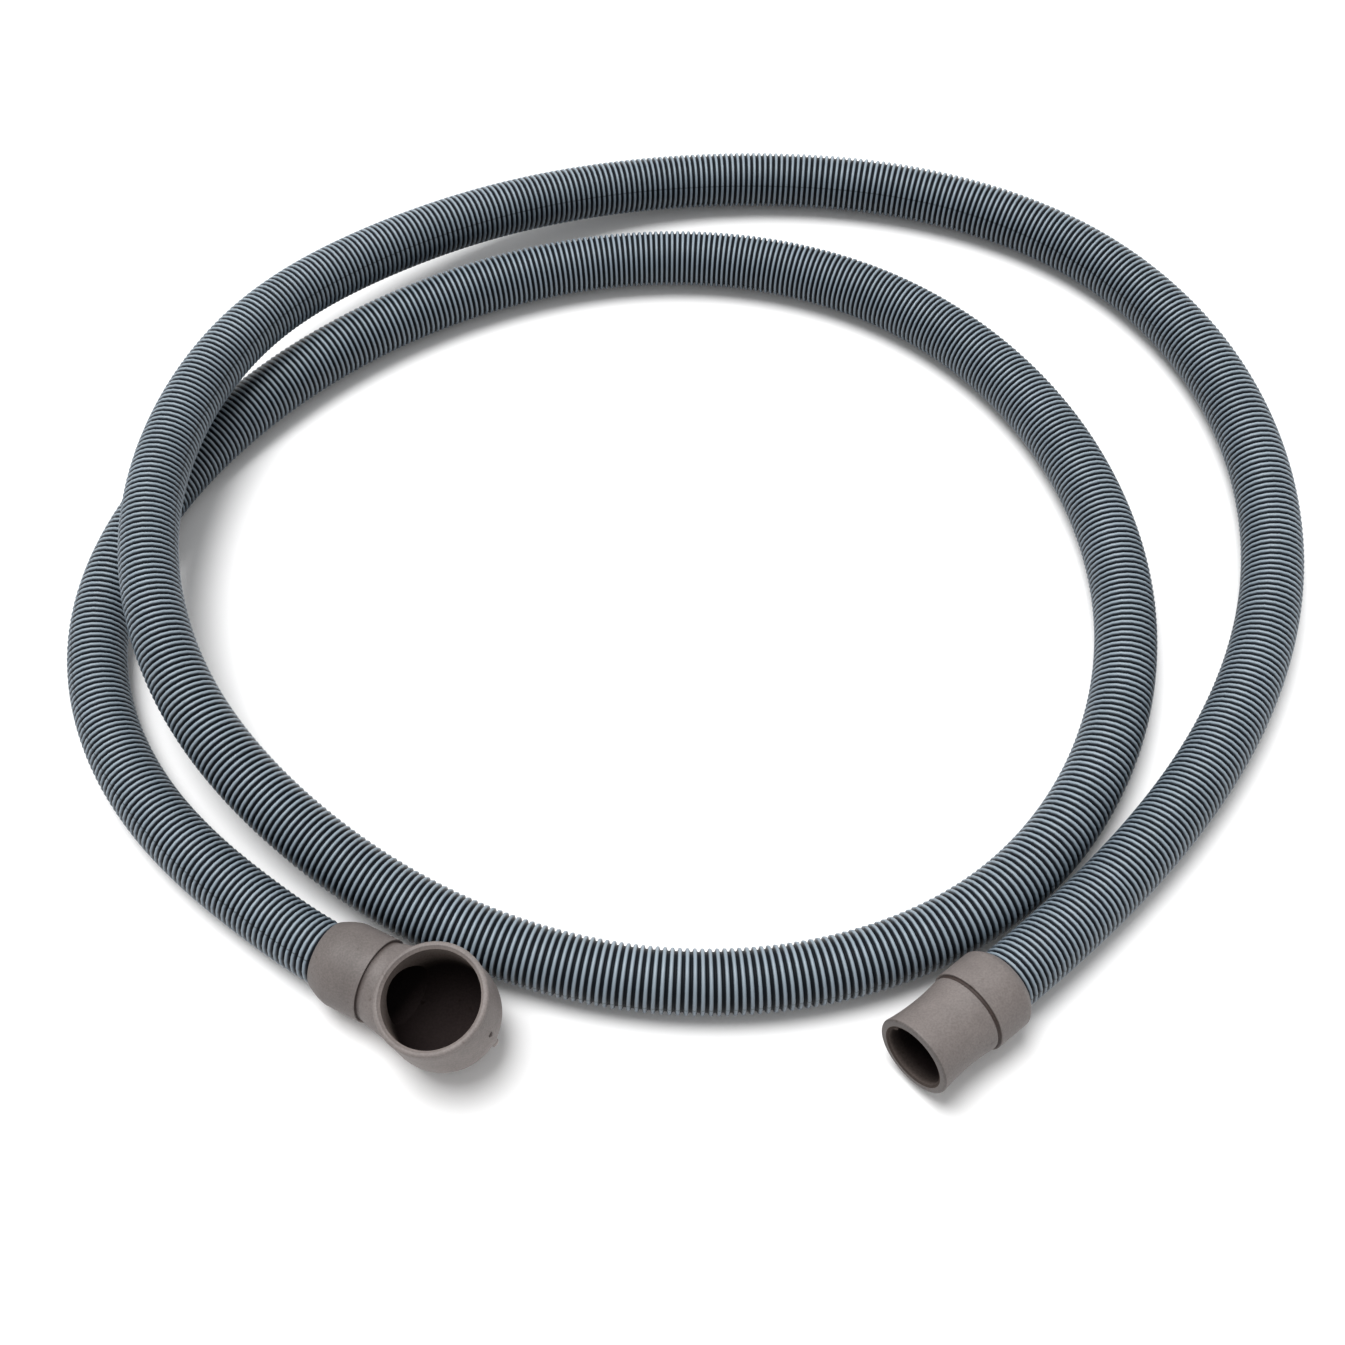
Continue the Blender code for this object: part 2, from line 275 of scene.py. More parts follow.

# Finish of the cuffs: noise scales, roughness, bumps, colours, the shades of clouds and specks, and the
# painted shade in the groove
CUFF_GRAIN_SCALE = 1700.0
CUFF_CLOUD_SCALE = 110.0
CUFF_SPECK_SCALE = 420.0
CUFF_ROUGHNESS = 0.60
CUFF_BUMP = 0.30
CUFF_BUMP_DEPTH = 0.00012
CUFF_COLOURS = [(0.35, (0.140, 0.123, 0.116)), (0.65, (0.177, 0.155, 0.147))]
CUFF_CLOUD_SHADES = [(0.30, (0.90, 0.89, 0.89)), (0.70, (1.08, 1.07, 1.07))]
CUFF_SPECK_SHADES = [(0.70, (1.0, 1.0, 1.0)), (0.80, (0.66, 0.62, 0.58))]
CUFF_GROOVE_PAINTED_SHADE = [(0.0, (1.0, 1.0, 1.0)), (1.0, (0.26, 0.20, 0.18))]
# Painted shade inside the bores, darker deeper in, with painted light just within the lips
CUFF_INSIDE_PAINTED_SHADE = [
    (0.0, (1.0, 1.0, 1.0)),
    (0.15, (1.35, 1.30, 1.25)),
    (0.45, (0.95, 0.90, 0.86)),
    (0.75, (0.25, 0.23, 0.22)),
    (1.0, (0.09, 0.078, 0.080)),
]

# Light: how strong the sky is in front and behind, how white it looks itself, and the sun
WORLD_FRONT = 0.30
WORLD_BACK = 0.84
BACKGROUND_WHITE = 1.0
SUN_STRENGTH = 3.1
SUN_ANGLE = math.radians(34.0)
SUN_FROM = Vector((-0.23, 0.17, 1.0))
FLOOR_WHITE = 0.90
FLOOR_GLOW = 0.03
FLOOR_SIZE = 6.0


def make_camera():
    camera = bpy.data.cameras.new("photo_camera")
    camera.sensor_width = SENSOR_WIDTH
    camera.lens = FOCAL_PIXELS / PHOTO_SIZE * SENSOR_WIDTH
    camera.shift_x = 0.5 - CENTRE_X_PIXELS / PHOTO_SIZE
    camera.clip_start = CLIP_START
    item = bpy.data.objects.new("photo_camera", camera)
    bpy.context.scene.collection.objects.link(item)
    turn = Matrix.Rotation(math.pi / 2 - CAMERA_TILT, 4, "X") @ Matrix.Rotation(-CAMERA_ROLL, 4, "Z")
    item.matrix_world = Matrix.Translation(CAMERA_PLACE) @ turn
    bpy.context.scene.camera = item


def new_material(name):
    """A material with its nodes, its links and its main shader."""
    material = bpy.data.materials.new(name)
    material.use_nodes = True
    tree = material.node_tree
    return material, tree.nodes, tree.links, tree.nodes["Principled BSDF"]


def add_node(nodes, kind, **settings):
    """A node with its own settings, or its inputs' values, set by name."""
    node = nodes.new(kind)
    for name, value in settings.items():
        if hasattr(node, name):
            setattr(node, name, value)
        else:
            node.inputs[name.replace("_", " ")].default_value = value
    return node


def read_mark(nodes, name):
    """The number stored on the mesh under a name."""
    return add_node(nodes, "ShaderNodeAttribute", attribute_name=name).outputs["Fac"]


def ramp(nodes, links, source, stops):
    """A colour ramp on a number: stops are places and colours."""
    node = nodes.new("ShaderNodeValToRGB")
    elements = node.color_ramp.elements
    while len(elements) < len(stops):
        elements.new(0.5)
    for element, (place, colour) in zip(elements, stops):
        element.position = place
        element.color = (*colour, 1.0)
    links.new(source, node.inputs["Fac"])
    return node.outputs["Color"]


def darken(nodes, links, colour, by):
    """A colour times another colour."""
    node = add_node(nodes, "ShaderNodeMix", data_type="RGBA", blend_type="MULTIPLY")
    node.inputs["Factor"].default_value = 1.0
    links.new(colour, node.inputs["A"])
    links.new(by, node.inputs["B"])
    return node.outputs["Result"]


def noise(nodes, links, scale, detail):
    """Fine cloudy noise in the object's own space."""
    place = nodes.new("ShaderNodeTexCoord")
    node = add_node(nodes, "ShaderNodeTexNoise", Scale=scale, Detail=detail)
    links.new(place.outputs["Object"], node.inputs["Vector"])
    return node.outputs["Fac"]


def map_range(nodes, links, source, start, end, low, high):
    """Carries a number from one range over to another, and holds it at the ends."""
    node = add_node(nodes, "ShaderNodeMapRange", From_Min=start, From_Max=end, To_Min=low, To_Max=high)
    links.new(source, node.inputs["Value"])
    return node.outputs["Result"]


def add_bump(nodes, links, shader, height, strength, distance):
    node = add_node(nodes, "ShaderNodeBump", Strength=strength, Distance=distance)
    links.new(height, node.inputs["Height"])
    links.new(node.outputs["Normal"], shader.inputs["Normal"])


def make_hose_material():
    material, nodes, links, shader = new_material("hose_plastic")
    crests = ramp(nodes, links, noise(nodes, links, HOSE_CLOUD_SCALE, 3.0), HOSE_COLOURS)
    # Painted shade in the grooves and the bore, with weaker reflections there
    groove = read_mark(nodes, "groove")
    colour = darken(nodes, links, crests, ramp(nodes, links, groove, HOSE_GROOVE_PAINTED_SHADE))
    offset = add_node(nodes, "ShaderNodeMath", operation="ABSOLUTE")
    links.new(read_mark(nodes, "seam"), offset.inputs[0])
    colour = darken(nodes, links, colour, ramp(nodes, links, offset.outputs[0], HOSE_SEAM_SHADES))
    # Painted shade, darker towards the underside
    colour = darken(nodes, links, colour, ramp(nodes, links, read_mark(nodes, "topness"), HOSE_UNDERSIDE_PAINTED_SHADE))
    links.new(colour, shader.inputs["Base Color"])
    grain = noise(nodes, links, HOSE_GRAIN_SCALE, 3.0)
    links.new(map_range(nodes, links, grain, 0.3, 0.7, 0.38, 0.50), shader.inputs["Roughness"])
    links.new(map_range(nodes, links, groove, 0.1, 0.8, 0.50, 0.05), shader.inputs["Specular IOR Level"])
    add_bump(nodes, links, shader, grain, HOSE_BUMP, HOSE_BUMP_DEPTH)
    return material


def make_cuff_material():
    material, nodes, links, shader = new_material("cuff_rubber")
    grain = noise(nodes, links, CUFF_GRAIN_SCALE, 2.0)
    colour = ramp(nodes, links, grain, CUFF_COLOURS)
    clouds = noise(nodes, links, CUFF_CLOUD_SCALE, 4.0)
    colour = darken(nodes, links, colour, ramp(nodes, links, clouds, CUFF_CLOUD_SHADES))
    specks = noise(nodes, links, CUFF_SPECK_SCALE, 1.0)
    colour = darken(nodes, links, colour, ramp(nodes, links, specks, CUFF_SPECK_SHADES))
    # Painted light and shade along the elbow, up its leg, on the stubs and on the straight lip
    colour = darken(nodes, links, colour, read_mark(nodes, "painted_light"))
    # Painted shade in the collar's groove and in the pin mark
    groove = read_mark(nodes, "groove")
    colour = darken(nodes, links, colour, ramp(nodes, links, groove, CUFF_GROOVE_PAINTED_SHADE))
    # Painted shade inside the bores, with no reflections deep inside
    inside = read_mark(nodes, "inside")
    colour = darken(nodes, links, colour, ramp(nodes, links, inside, CUFF_INSIDE_PAINTED_SHADE))
    links.new(colour, shader.inputs["Base Color"])
    shader.inputs["Roughness"].default_value = CUFF_ROUGHNESS
    links.new(map_range(nodes, links, inside, 0.0, 0.4, 0.45, 0.0), shader.inputs["Specular IOR Level"])
    add_bump(nodes, links, shader, grain, CUFF_BUMP, CUFF_BUMP_DEPTH)
    return material


def collar_outline(radius, length, shoulder):
    """The outer side of a collar's shoulder, from its rear edge to the collar's full radius, as radius and
    height.
    """
    lip_radius = SOCKET_RADIUS + COLLAR_LIP
    points = []
    for step in range(SHOULDER_STEPS + 1):
        share = step / SHOULDER_STEPS
        swell = 1 - (1 - share) ** SHOULDER_EASE
        points.append((lip_radius + (radius - lip_radius) * swell, shoulder * share))
    return points


def elbow_collar():
    return collar_outline(ELBOW_COLLAR_RADIUS, ELBOW_COLLAR_LENGTH, ELBOW_SHOULDER_LENGTH)


def straight_collar():
    return collar_outline(STRAIGHT_COLLAR_RADIUS, STRAIGHT_COLLAR_LENGTH, STRAIGHT_SHOULDER_LENGTH)


def rear_height(collar, tilt):
    """How high the middle of a collar's rear edge lies when the tilted collar rests on the floor."""
    return max(radius * math.cos(tilt) - along * math.sin(tilt) for radius, along in collar)


def elbow_tilt():
    """The tilt at which the elbow rests on the floor with its collar and with the round back of its leg."""
    tilt = 0.0
    for _ in range(TILT_ROUNDS):
        rise = LEG_RADIUS - rear_height(elbow_collar(), tilt)
        tilt = math.asin(rise / (ELBOW_COLLAR_LENGTH + ELBOW_REACH))
    return tilt


def cuff_matrix(rear, collar, heading, tilt, roll):
    """Places a cuff, whose own +Z runs from its rear edge to its mouth, with its collar on the floor."""
    lie = Matrix.Rotation(heading, 4, "Z") @ Matrix.Rotation(math.pi / 2 - tilt, 4, "Y")
    return Matrix.Translation((*rear, rear_height(collar, tilt))) @ lie @ Matrix.Rotation(roll, 4, "Z")


def arc(centre_radius, centre_height, radius, start, end, steps):
    """Points on an arc of a turned outline, between two angles in degrees from the outward direction."""
    angles = np.radians(np.linspace(start, end, steps + 1))
    return [(centre_radius + radius * math.cos(a), centre_height + radius * math.sin(a)) for a in angles]


def groove_outline(radius, length, next_radius):
    """A groove with eased edges, from a collar's outer side to what follows it."""
    floor = radius - GROOVE_DEPTH
    ease = EDGE_ROUNDING
    near = length - GROOVE_WIDTH / 2
    far = length + GROOVE_WIDTH / 2
    points = [(radius, near - EDGE_REACH)]
    points += arc(radius - ease, near - ease, ease, 0.0, 90.0, EDGE_STEPS)
    points += [(floor + ease, near), (floor, near + ease), (floor, far - ease), (floor + ease, far)]
    points += arc(next_radius - ease, far + ease, ease, -90.0, 0.0, EDGE_STEPS)
    return points


def steps_between(start, end, step):
    """Heights from a start to an end, about a step apart, without the ends."""
    return np.linspace(start, end, max(int(abs(end - start) / step), 1) + 1)[1:-1]


def natural_spline(points):
    """A smooth curve through points, as a function of the way along the straight lines between them."""
    places = np.array(points)
    gaps = np.linalg.norm(np.diff(places, axis=0), axis=1)
    marks = np.concatenate(([0.0], np.cumsum(gaps)))
    count = len(places)
    system = np.eye(count)
    sides = np.zeros_like(places)
    for row in range(1, count - 1):
        system[row, row - 1] = gaps[row - 1]
        system[row, row] = 2 * (gaps[row - 1] + gaps[row])
        system[row, row + 1] = gaps[row]
        slopes = np.diff(places[row - 1:row + 2], axis=0) / gaps[row - 1:row + 1, None]
        sides[row] = 6 * (slopes[1] - slopes[0])
    bends = np.linalg.solve(system, sides)

    def at(mark):
        part = min(max(int(np.searchsorted(marks, mark, side="right")) - 1, 0), count - 2)
        gap = gaps[part]
        before = mark - marks[part]
        after = marks[part + 1] - mark
        cubic = (bends[part] * after ** 3 + bends[part + 1] * before ** 3) / (6 * gap)
        start = (places[part] / gap - bends[part] * gap / 6) * after
        end = (places[part + 1] / gap - bends[part + 1] * gap / 6) * before
        return cubic + start + end

    return at, marks


def hose_line(elbow_matrix, straight_matrix):
    """Close-set points along the hose's middle, from its end in the elbow to its end in the other cuff."""
    def socket_points(matrix, collar_length):
        depth = collar_length - STOP_LENGTH - FIT_GAP
        return matrix @ Vector((0.0, 0.0, 0.0)), matrix @ Vector((0.0, 0.0, depth))

    elbow_rear, elbow_stop = socket_points(elbow_matrix, ELBOW_COLLAR_LENGTH)
    straight_rear, straight_stop = socket_points(straight_matrix, STRAIGHT_COLLAR_LENGTH)
    between = [(x, y, HOSE_RADIUS + lift * 2 * HOSE_RADIUS) for x, y, lift in ROUTE]
    at, marks = natural_spline([elbow_stop, elbow_rear, *between, straight_rear, straight_stop])
    line = np.array([at(mark) for mark in np.linspace(marks[1], marks[-2], LINE_POINTS)])
    line[:, 2] = np.maximum(line[:, 2], HOSE_RADIUS)
    return np.vstack([[tuple(elbow_stop)], line, [tuple(straight_stop)]])


def distances(line):
    """How far along a line each of its points is."""
    return np.concatenate(([0.0], np.cumsum(np.linalg.norm(np.diff(line, axis=0), axis=1))))


def points_at(line, wanted):
    """The points of a line at given distances along it."""
    marks = distances(line)
    return np.column_stack([np.interp(wanted, marks, line[:, axis]) for axis in range(3)])


def tube_rings(line, radii, sides):
    """Rings of points square to a line, each of its own radius. Their first point is on top."""
    along = np.gradient(line, axis=0)
    along /= np.linalg.norm(along, axis=1)[:, None]
    across = np.cross(along, (0.0, 0.0, 1.0))
    across /= np.linalg.norm(across, axis=1)[:, None]
    upward = np.cross(across, along)
    angles = np.arange(sides) * 2 * math.pi / sides
    rise = np.cos(angles)[None, :, None] * upward[:, None, :]
    spread = np.sin(angles)[None, :, None] * across[:, None, :]
    return line[:, None, :] + np.asarray(radii)[:, None, None] * (rise + spread)


def corrugations(length):
    """Distances along the hose, radii and groove depths of the rings that draw its corrugations; the depths
    set the painted shade in the grooves.
    """
    places = np.linspace(0.0, length, LINE_POINTS)
    pitches = np.interp(places, *np.array(PITCHES).T)
    counted = np.concatenate(([0.0], np.cumsum(np.diff(places) * 2 / (pitches[1:] + pitches[:-1]))))
    shares, radii, depths = np.array(CORRUGATION).T
    count = int(counted[-1])
    turns = (np.arange(count)[:, None] + shares[None, :]).ravel()
    turns = np.append(turns, count) * counted[-1] / count
    along = np.interp(turns, counted, places)
    return along, np.append(np.tile(radii, count), radii[0]), np.append(np.tile(depths, count), depths[0])


def new_piece(name, points, faces, material):
    """A smooth-shaded mesh piece from points and faces, riding with the object."""
    mesh = bpy.data.meshes.new(name)
    mesh.from_pydata(points.tolist(), [], faces)
    mesh.shade_smooth()
    mesh.materials.append(material)
    piece = bpy.data.objects.new(name, mesh)
    bpy.context.scene.collection.objects.link(piece)
    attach(piece, "root")
    return piece


def mark_points(piece, name, values):
    """Stores a number for each point of a piece, for its material to read."""
    layer = piece.data.attributes.new(name, "FLOAT", "POINT")
    layer.data.foreach_set("value", np.asarray(values, dtype=np.float32))


def make_hose(line, material):
    """A closed corrugated tube with a plain bore."""
    length = distances(line)[-1]
    along, radii, depths = corrugations(length)
    outer_line = points_at(line, along)
    outer = tube_rings(outer_line, radii, HOSE_SIDES)
    bore_line = points_at(line, np.linspace(0.0, length, BORE_STEPS + 1))
    bore = tube_rings(bore_line, np.full(len(bore_line), HOSE_BORE_RADIUS), HOSE_SIDES)
    points = np.vstack([outer.reshape(-1, 3), bore.reshape(-1, 3)])

    side = np.arange(HOSE_SIDES)
    following = (side + 1) % HOSE_SIDES

    def wall(first, second):
        return np.column_stack([first + side, first + following, second + following, second + side])

    outer_starts = np.arange(len(outer_line)) * HOSE_SIDES
    bore_starts = len(outer_line) * HOSE_SIDES + np.arange(len(bore_line)) * HOSE_SIDES
    faces = [wall(first, second) for first, second in zip(outer_starts, outer_starts[1:])]
    faces += [wall(second, first) for first, second in zip(bore_starts, bore_starts[1:])]
    faces += [wall(bore_starts[0], outer_starts[0]), wall(outer_starts[-1], bore_starts[-1])]
    hose = new_piece("hose", points, np.vstack(faces).tolist(), material)
    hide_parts("corrugated_hose")

    bore_points = bore.shape[0] * HOSE_SIDES
    # How deep in a groove each point is, with the whole bore as deep, for the painted shade there
    mark_points(hose, "groove", np.concatenate([np.repeat(depths, HOSE_SIDES), np.ones(bore_points)]))
    turned = np.radians(np.interp(along, *np.array(SEAM_TURNS).T))
    angles = side * 2 * math.pi / HOSE_SIDES
    seam = radii[:, None] * np.cos(angles[None, :] - turned[:, None]) / SEAM_WIDTH
    mark_points(hose, "seam", np.concatenate([seam.ravel(), np.full(bore_points, FAR_FROM_SEAM)]))
    # How near the top each point lies, for the painted shade underneath; the bore gets the darkest
    topness = np.tile(np.cos(angles) / 2 + 0.5, len(along))
    mark_points(hose, "topness", np.concatenate([topness, np.zeros(bore_points)]))
    return hose, length


def ring_faces(rings, steps, closed):
    """Faces between rings of points that were turned about an axis."""
    faces = []
    for ring in range(rings if closed else rings - 1):
        first = ring * steps
        second = (ring + 1) % rings * steps
        for step in range(steps):
            following = (step + 1) % steps
            faces.append((first + step, first + following, second + following, second + step))
    return faces


def turned_points(profile, steps):
    """The points of an outline turned about +Z, ring after ring."""
    angles = np.arange(steps) * 2 * math.pi / steps
    radii, heights = np.array(profile).T
    across = radii[:, None] * np.cos(angles)[None, :]
    sideways = radii[:, None] * np.sin(angles)[None, :]
    upward = np.repeat(heights[:, None], steps, axis=1)
    return np.stack([across, sideways, upward], axis=-1).reshape(-1, 3)


def spigot_outline():
    """The outer side of the straight cuff's spigot, a little waisted, up to its rounded lip."""
    start = STRAIGHT_COLLAR_LENGTH + GROOVE_WIDTH / 2 + EDGE_REACH
    mouth = STRAIGHT_COLLAR_LENGTH + SPIGOT_LENGTH
    points = []
    for step in range(SPIGOT_STEPS):
        share = step / SPIGOT_STEPS
        root = SPIGOT_ROOT_RADIUS * (1 - share) * (1 - 2 * share)
        waist = SPIGOT_WAIST_RADIUS * 4 * share * (1 - share)
        end = SPIGOT_MOUTH_RADIUS * share * (2 * share - 1)
        points.append((root + waist + end, start + (mouth - LIP_OUTER_ROUNDING - start) * share))
    corner = SPIGOT_MOUTH_RADIUS - LIP_OUTER_ROUNDING
    points += arc(corner, mouth - LIP_OUTER_ROUNDING, LIP_OUTER_ROUNDING, 0.0, 90.0, LIP_OUTER_STEPS)
    return points


def make_straight_cuff(matrix, material):
    mouth = STRAIGHT_COLLAR_LENGTH + SPIGOT_LENGTH
    stop = STRAIGHT_COLLAR_LENGTH - STOP_LENGTH
    profile = [(SOCKET_RADIUS, EDGE_ROUNDING), (SOCKET_RADIUS + EDGE_ROUNDING, 0.0)]
    profile += straight_collar()
    profile += [(STRAIGHT_COLLAR_RADIUS, height) for height in STRAIGHT_COLLAR_RINGS]
    profile += groove_outline(STRAIGHT_COLLAR_RADIUS, STRAIGHT_COLLAR_LENGTH, SPIGOT_ROOT_RADIUS)
    profile += spigot_outline()
    corner = SPIGOT_BORE_RADIUS + LIP_INNER_ROUNDING
    bore_top = mouth - LIP_INNER_ROUNDING
    profile += arc(corner, bore_top, LIP_INNER_ROUNDING, 90.0, 180.0, LIP_INNER_STEPS)
    profile += [(SPIGOT_BORE_RADIUS, height) for height in steps_between(bore_top, stop, BORE_STEP)]
    profile += [(SPIGOT_BORE_RADIUS, stop), (SOCKET_RADIUS, stop)]
    points = turned_points(profile, TURN_STEPS)
    faces = ring_faces(len(profile), TURN_STEPS, True)
    cuff = temporary_form("straight_cuff_rubber", points, faces, Matrix.Identity(4))
    combine(cuff, "UNION", [mouth_stub(mouth)])
    remove_slivers(cuff)
    mark_straight_cuff(cuff, mouth)
    finish_cuff(cuff, "straight_cuff", matrix, material)
    return cuff


def mouth_stub(mouth):
    """The little stub on the inner edge of the straight mouth."""
    offset = Matrix.Translation((-MOUTH_STUB_AT, 0.0, mouth - MOUTH_STUB_RADIUS))
    outline = [(0.0, MOUTH_STUB_RADIUS)] + round_back(MOUTH_STUB_RADIUS)
    return solid_form("mouth_stub", outline, Matrix.Rotation(MOUTH_STUB_TURN, 4, "Z") @ offset)


def mark_straight_cuff(cuff, mouth):
    """Stores the painted shade inside and in the groove of the straight cuff, and the painted light or
    shade on each point.
    """
    places = point_places(cuff)
    radius = np.hypot(places[:, 0], places[:, 1])
    inside = radius < SPIGOT_BORE_RADIUS + LIP_INNER_ROUNDING * LIP_INSIDE_SHARE
    depth = np.clip((mouth - places[:, 2]) / STRAIGHT_INSIDE_SHADE_FADE, 0.0, 1.0)
    shaded = STRAIGHT_INSIDE_SHADE_START + (1 - STRAIGHT_INSIDE_SHADE_START) * depth
    # Painted shade inside the mouth, from partway at the lip to full deeper in
    mark_points(cuff, "inside", np.where(inside, shaded, 0.0))
    mark_points(cuff, "groove", groove_points(places, STRAIGHT_COLLAR_RADIUS, STRAIGHT_COLLAR_LENGTH))
    stub_x = -MOUTH_STUB_AT * math.cos(MOUTH_STUB_TURN)
    stub_y = -MOUTH_STUB_AT * math.sin(MOUTH_STUB_TURN)
    from_stub = np.hypot(places[:, 0] - stub_x, places[:, 1] - stub_y)
    on_stub = (from_stub < MOUTH_STUB_RADIUS) & (radius < SPIGOT_BORE_RADIUS - SLACK) & (depth < 0.5)
    # Painted light on the mouth stub, painted shade on the lip
    on_lip = places[:, 2] > mouth - LIP_OUTER_ROUNDING / 2
    mark_points(cuff, "painted_light", np.where(on_stub, STUB_PAINTED_LIGHT, np.where(on_lip, LIP_PAINTED_SHADE, 1.0)))


def point_places(form):
    places = np.empty(len(form.data.vertices) * 3)
    form.data.vertices.foreach_get("co", places)
    return places.reshape(-1, 3)


def groove_points(places, radius, length):
    """Which points lie on the floor of a collar's groove."""
    from_axis = np.hypot(places[:, 0], places[:, 1])
    floor = radius - GROOVE_DEPTH
    near = np.abs(places[:, 2] - length) < GROOVE_WIDTH / 2 + SLACK / 2
    return near & (np.abs(from_axis - floor) < EDGE_ROUNDING + SLACK / 2)


def finish_cuff(cuff, node, matrix, material):
    """Gives a cuff its material, puts it in its place and lets it stand for its node."""
    cuff.data.materials.clear()
    cuff.data.materials.append(material)
    cuff.data.shade_smooth()
    cuff.data.set_sharp_from_angle(angle=SHARP_ANGLE)
    cuff.data.transform(matrix)
    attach(cuff, "root")
    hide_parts(node)


def solid_form(name, profile, place):
    """A turned solid to model with. Its outline runs from the axis at its top to the axis at its bottom."""
    rings = profile[1:-1]
    points = turned_points(rings, TURN_STEPS)
    faces = [face[::-1] for face in ring_faces(len(rings), TURN_STEPS, False)]
    top = len(points)
    bottom = top + 1
    last = (len(rings) - 1) * TURN_STEPS
    for step in range(TURN_STEPS):
        following = (step + 1) % TURN_STEPS
        faces.append((top, step, following))
        faces.append((bottom, last + following, last + step))
    ends = [(0.0, 0.0, profile[0][1]), (0.0, 0.0, profile[-1][1])]
    return temporary_form(name, np.vstack([points, ends]), faces, place)


def temporary_form(name, points, faces, place):
    """A mesh object from points and faces, moved to its place."""
    mesh = bpy.data.meshes.new(name)
    mesh.from_pydata(points.tolist(), [], faces)
    mesh.transform(place)
    form = bpy.data.objects.new(name, mesh)
    bpy.context.scene.collection.objects.link(form)
    return form


def apply_modifiers(form):
    """Turns a form's modifiers into its own mesh."""
    bpy.context.view_layer.update()
    graph = bpy.context.evaluated_depsgraph_get()
    mesh = bpy.data.meshes.new_from_object(form.evaluated_get(graph))
    form.modifiers.clear()
    form.data = mesh


def combine(form, operation, others):
    """Joins other forms to a form, or cuts them out of it, and removes them."""
    for other in others:
        boolean = form.modifiers.new(operation.title(), "BOOLEAN")
        boolean.operation = operation
        boolean.solver = "EXACT"
        boolean.object = other
    apply_modifiers(form)
    for other in others:
        bpy.data.objects.remove(other, do_unlink=True)


def remove_slivers(form):
    """Welds points that cutting left side by side, and removes faces that then lie back to back."""
    cleaned = bmesh.new()
    cleaned.from_mesh(form.data)
    bmesh.ops.triangulate(cleaned, faces=[face for face in cleaned.faces if len(face.verts) > 4])
    bmesh.ops.remove_doubles(cleaned, verts=cleaned.verts, dist=WELD_DISTANCE)
    bmesh.ops.dissolve_degenerate(cleaned, edges=cleaned.edges, dist=WELD_DISTANCE)
    cleaned.verts.index_update()
    alike = {}
    for face in cleaned.faces:
        alike.setdefault(frozenset(point.index for point in face.verts), []).append(face)
    doubled = [face for faces in alike.values() if len(faces) > 1 for face in faces]
    bmesh.ops.delete(cleaned, geom=doubled, context="FACES")
    cleaned.to_mesh(form.data)
    cleaned.free()


def neck_section(share):
    """One ring of the elbow's neck: round at the collar, wider and flat-topped where it meets the leg."""
    ease = math.sin(math.pi / 2 * share)
    half_width = NECK_ROOT_RADIUS + (LEG_RADIUS - NECK_SINK - NECK_ROOT_RADIUS) * ease
    top = NECK_ROOT_RADIUS + (LEG_HEIGHT - NECK_SINK - NECK_ROOT_RADIUS) * ease
    start = ELBOW_GROOVE_AT + GROOVE_WIDTH / 2
    height = start + (ELBOW_COLLAR_LENGTH + ELBOW_REACH - start) * share
    angles = np.arange(TURN_STEPS) * 2 * math.pi / TURN_STEPS
    upward = np.cos(angles)
    across = -upward * np.where(upward > 0, top, half_width)
    return np.column_stack([across, half_width * np.sin(angles), np.full(TURN_STEPS, height)])


def make_neck():
    """The solid neck, lofted from the groove to the middle of the leg."""
    rings = NECK_STEPS + 1
    points = np.vstack([neck_section(step / NECK_STEPS) for step in range(rings)])
    faces = [face[::-1] for face in ring_faces(rings, TURN_STEPS, False)]
    faces.append(tuple(range(TURN_STEPS)))
    faces.append(tuple(range(len(points) - TURN_STEPS, len(points)))[::-1])
    return temporary_form("neck", points, faces, Matrix.Identity(4))


def round_back(radius):
    """The outline of a half ball about the origin, from its widest place down to the axis."""
    angles = np.linspace(0.0, math.pi / 2, BACK_STEPS + 1)[:-1]
    return [(radius * math.cos(a), -radius * math.sin(a)) for a in angles] + [(0.0, -radius)]


def blended_body(leg_place):
    """The neck and the leg melted into one soft form, with the parting ridge down the back of the leg."""
    body = make_neck()
    leg_top = LEG_HEIGHT - LEG_RIM_BAND / 2
    leg_outline = [(0.0, leg_top), (LEG_RADIUS - SLACK, leg_top)] + round_back(LEG_RADIUS)
    combine(body, "UNION", [solid_form("leg", leg_outline, leg_place)])
    remesh = body.modifiers.new("Remesh", "REMESH")
    remesh.mode = "VOXEL"
    remesh.voxel_size = BLEND_VOXEL
    smooth = body.modifiers.new("Smooth", "SMOOTH")
    smooth.factor = BLEND_FACTOR
    smooth.iterations = BLEND_ROUNDS
    apply_modifiers(body)
    raise_ridge(body)
    return body


def raise_ridge(body):
    """Lifts the points along the parting line, out of the back of the leg."""
    places = point_places(body)
    normals = np.empty(places.size)
    body.data.vertices.foreach_get("normal", normals)
    normals = normals.reshape(-1, 3)
    behind = places[:, 2] - ELBOW_COLLAR_LENGTH - ELBOW_REACH
    height = -places[:, 0]
    left = RIDGE_HALF_LENGTH - np.abs(height - RIDGE_MIDDLE)
    fade = np.clip(left / RIDGE_FADE, 0.0, 1.0) * (behind > 0)
    ridge = RIDGE_HEIGHT * np.exp(-(places[:, 1] / RIDGE_WIDTH) ** 2) * fade
    places += normals * ridge[:, None]
    body.data.vertices.foreach_set("co", places.ravel())


